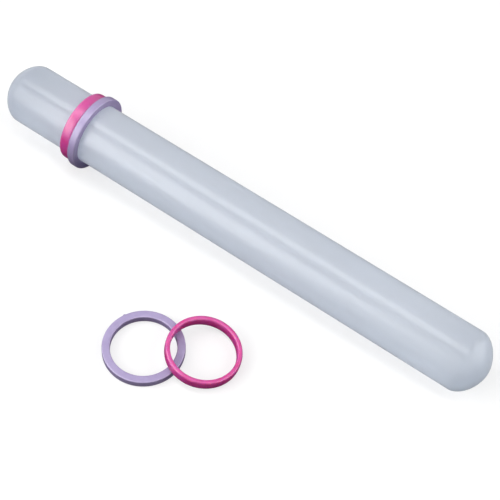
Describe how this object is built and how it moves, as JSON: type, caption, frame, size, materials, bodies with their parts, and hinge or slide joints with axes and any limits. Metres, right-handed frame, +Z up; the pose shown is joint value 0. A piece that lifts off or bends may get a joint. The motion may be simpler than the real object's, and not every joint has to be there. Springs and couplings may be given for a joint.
{
  "type": "adjustable rolling pin",
  "caption": "Slim plain rolling pin with domed ends and slip-on guide rings that set the thickness the dough is rolled to, with spare rings lying in front of it.",
  "frame": {"origin": "on the table, under the middle of the box round the whole set", "axes": "+X along the roller, from the end with the guide rings to the plain end; +Y from the spare rings to the roller; +Z up"},
  "size_m": [0.2286, 0.0944, 0.032],
  "materials": {
    "roller_plastic": "milky satin polyethylene with a soft sheen",
    "lilac_plastic": "satin lilac moulded plastic",
    "pink_plastic": "half-gloss pink moulded plastic"
  },
  "bodies": {
    "roller": {"roller": "roller_plastic"},
    "thick_ring": {"thick_ring_fitted": "lilac_plastic"},
    "thin_ring": {"thin_ring_fitted": "pink_plastic"},
    "spare_thick_ring": {"thick_ring_spare": "lilac_plastic"},
    "spare_thin_ring": {"thin_ring_spare": "pink_plastic"}
  },
  "joints": [
    {"name": "thick_ring_slide", "type": "slide", "parent": "roller", "child": "thick_ring", "axis": [0.9998, 0, -0.0188], "range_m": [0, 0.192]},
    {"name": "thin_ring_slide", "type": "slide", "parent": "roller", "child": "thin_ring", "axis": [-0.9998, 0, 0.0188], "range_m": [0, 0.045]},
    {"name": "spare_thick_ring_lift", "type": "slide", "parent": "roller", "child": "spare_thick_ring", "axis": [0, 0, 1], "range_m": [0, 0.06]},
    {"name": "spare_thin_ring_lift", "type": "slide", "parent": "spare_thick_ring", "child": "spare_thin_ring", "axis": [0, 0, 1], "range_m": [0, 0.06]}
  ]
}
